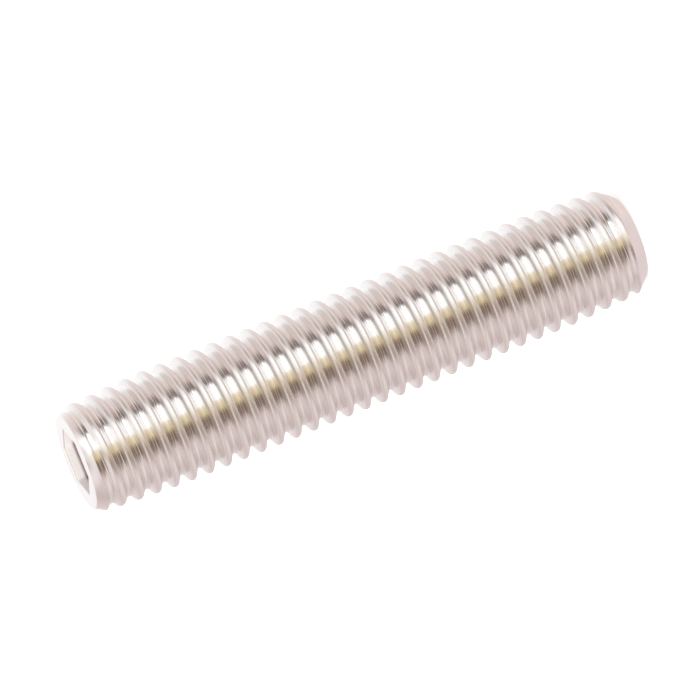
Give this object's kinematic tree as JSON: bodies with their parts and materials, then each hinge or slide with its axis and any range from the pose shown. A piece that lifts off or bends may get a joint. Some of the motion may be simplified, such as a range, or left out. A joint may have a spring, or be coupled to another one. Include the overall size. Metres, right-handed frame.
{
  "type": "set screw",
  "caption": "Headless set screw with a full-length right-hand metric thread, a hexagon socket in one end and a flat chamfered point at the other.",
  "frame": {"origin": "centre of the flat face of the point, on the surface that the screw stands on", "axes": "+Z runs along the screw's axis from the point to the socket, and the line of the thread's crest passes +X 0.1 mm above the level of the origin"},
  "size_m": [0.008, 0.008, 0.04],
  "materials": {
    "steel": "bright rolled stainless steel"
  },
  "bodies": {
    "root": {"set_screw": "steel"}
  },
  "joints": []
}
